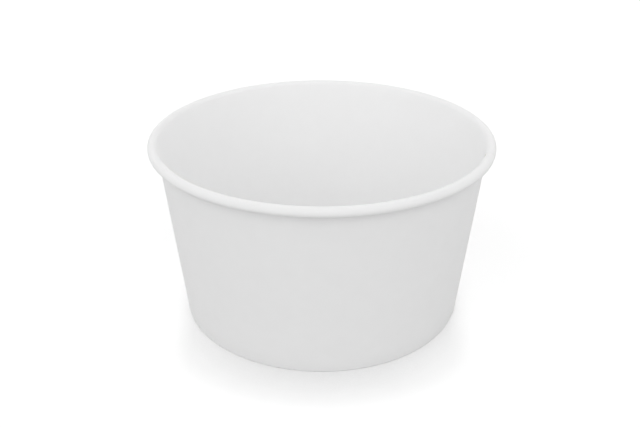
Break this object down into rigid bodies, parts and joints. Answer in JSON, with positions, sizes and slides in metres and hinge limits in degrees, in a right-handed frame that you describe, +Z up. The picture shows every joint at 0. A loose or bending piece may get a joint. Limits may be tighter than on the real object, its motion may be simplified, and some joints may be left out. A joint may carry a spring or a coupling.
{
  "type": "disposable salad bowl",
  "caption": "Round white paperboard food bowl, open at the top, with a rolled rim, a lapped conical side wall and a raised floor on a folded hem.",
  "frame": {"origin": "centre of the foot ring, on the table", "axes": "+Z up along the axis of the cone, out of the open mouth; the side seam is near +X"},
  "size_m": [0.15, 0.15, 0.081],
  "materials": {
    "wall_board": "white coated paperboard, matt outside, satin film inside",
    "floor_board": "white coated paperboard, satin film on the upper face"
  },
  "bodies": {
    "root": {"side_wall": "wall_board", "floor_disc": "floor_board"}
  },
  "joints": []
}
